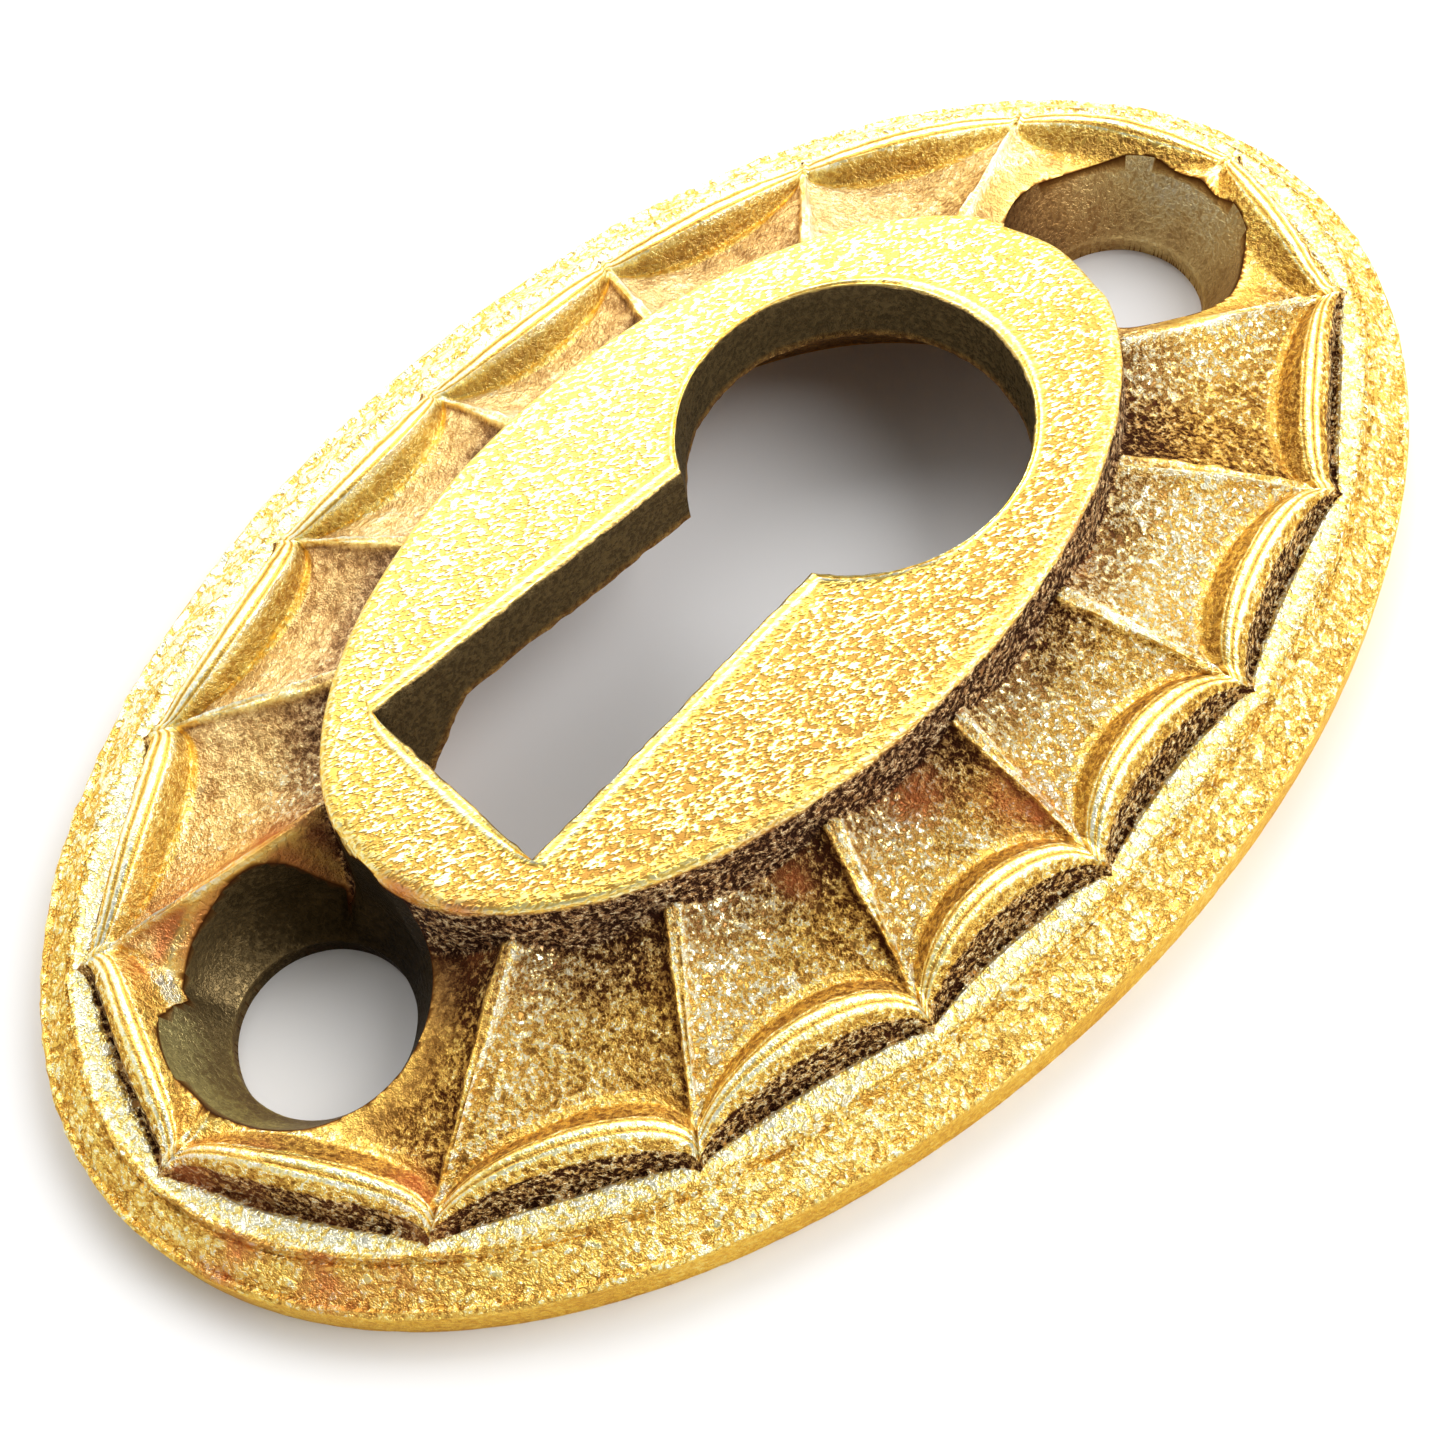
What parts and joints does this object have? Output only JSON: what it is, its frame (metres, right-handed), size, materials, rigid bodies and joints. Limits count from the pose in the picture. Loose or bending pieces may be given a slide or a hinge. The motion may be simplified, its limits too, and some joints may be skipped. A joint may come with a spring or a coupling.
{
  "type": "keyhole escutcheon",
  "caption": "Oval cast keyhole escutcheon with a raised flat boss, a keyhole, a scalloped web relief and countersunk screw holes.",
  "frame": {"origin": "middle of the back face, which lies on z = 0", "axes": "+Z out of the decorated face, +Y along the long axis towards the round end of the keyhole, +X across the plate"},
  "size_m": [0.0204, 0.032, 0.0041],
  "materials": {
    "brass": "cast brass, bright on top with brown patina in the hollows"
  },
  "bodies": {
    "root": {"escutcheon": "brass"}
  },
  "joints": []
}
